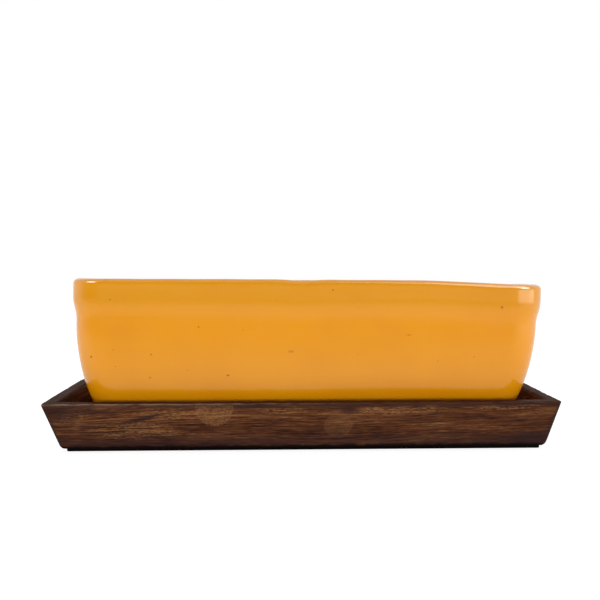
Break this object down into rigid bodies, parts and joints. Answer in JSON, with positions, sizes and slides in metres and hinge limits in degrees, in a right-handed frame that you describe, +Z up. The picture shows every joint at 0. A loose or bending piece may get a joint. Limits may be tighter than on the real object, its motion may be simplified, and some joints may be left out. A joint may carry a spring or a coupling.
{
  "type": "rectangular planter with tray",
  "caption": "Long rectangular glazed ceramic planter with a rolled rim, standing in a shallow splayed wooden drip tray.",
  "frame": {"origin": "on the surface that the tray stands on, under the middle of the tray", "axes": "+X along the length, -Y towards the side the picture shows, +Z up"},
  "size_m": [0.3296, 0.1596, 0.1112],
  "materials": {
    "glaze": "glossy mustard glaze over light clay",
    "stained_wood": "walnut-brown stain with a thin satin lacquer",
    "base_board": "dark stain, matte",
    "pin_steel": "plain steel wire"
  },
  "bodies": {
    "tray": {"tray_front_wall": "stained_wood", "tray_right_wall": "stained_wood", "tray_back_wall": "stained_wood", "tray_left_wall": "stained_wood", "tray_base_board": "base_board", "base_pin_front_1": "pin_steel", "base_pin_front_2": "pin_steel", "base_pin_front_3": "pin_steel", "base_pin_front_4": "pin_steel", "base_pin_front_5": "pin_steel", "base_pin_back_1": "pin_steel", "base_pin_back_2": "pin_steel", "base_pin_back_3": "pin_steel", "base_pin_back_4": "pin_steel", "base_pin_back_5": "pin_steel", "base_pin_left_1": "pin_steel", "base_pin_left_2": "pin_steel", "base_pin_right_1": "pin_steel", "base_pin_right_2": "pin_steel"},
    "planter": {"planter_pot": "glaze"}
  },
  "joints": [
    {"name": "pot_lift", "type": "slide", "parent": "tray", "child": "planter", "axis": [0, 0, 1], "range_m": [0, 0.08]}
  ]
}
